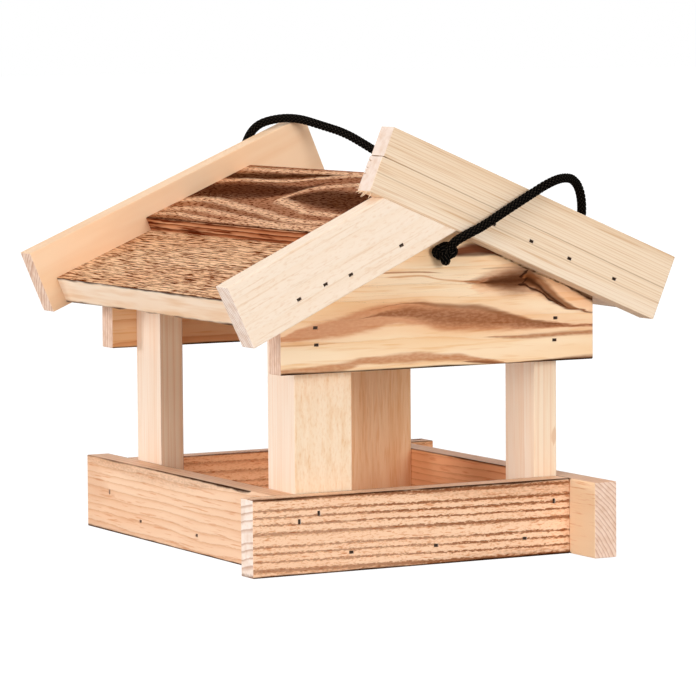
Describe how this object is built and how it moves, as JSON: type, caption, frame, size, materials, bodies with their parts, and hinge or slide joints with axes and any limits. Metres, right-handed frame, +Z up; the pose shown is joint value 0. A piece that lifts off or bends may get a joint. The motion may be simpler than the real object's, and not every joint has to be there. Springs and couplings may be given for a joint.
{
  "type": "hanging bird table",
  "caption": "Open bird table nailed from pine boards, with a shallow tray, corner posts, a pitched scorched roof with crossed barge boards, and a braided cord to hang it by.",
  "frame": {"origin": "middle of the tray's underside, where the object stands", "axes": "+X along the tray's front board to the right, +Y to the back along the ridge, +Z up"},
  "size_m": [0.3258, 0.317, 0.275],
  "materials": {
    "flamed_pine": "scorched and brushed",
    "planed_pine": "planed, untreated",
    "sawn_pine": "rough-sawn, untreated",
    "brad_steel": "dull wire",
    "cord": "braided polypropylene"
  },
  "bodies": {
    "root": {"tray_front_board": "flamed_pine", "tray_back_board": "flamed_pine", "tray_left_board": "flamed_pine", "tray_right_board": "flamed_pine", "tray_floor": "flamed_pine", "post_front_left": "sawn_pine", "post_front_right": "planed_pine", "post_back_left": "planed_pine", "post_back_right": "sawn_pine", "gable_front": "flamed_pine", "gable_back": "flamed_pine", "roof_lower_right": "flamed_pine", "roof_upper_right": "flamed_pine", "roof_lower_left": "flamed_pine", "roof_upper_left": "flamed_pine", "barge_front_long": "planed_pine", "barge_front_short": "planed_pine", "barge_back_long": "planed_pine", "barge_back_short": "planed_pine", "gable_brads": "brad_steel", "barge_brads": "brad_steel", "tray_corner_brads": "brad_steel", "post_brads": "brad_steel", "floor_brads": "brad_steel", "hanging_cord": "cord", "cord_ends": "cord", "cord_knots": "cord"}
  },
  "joints": []
}
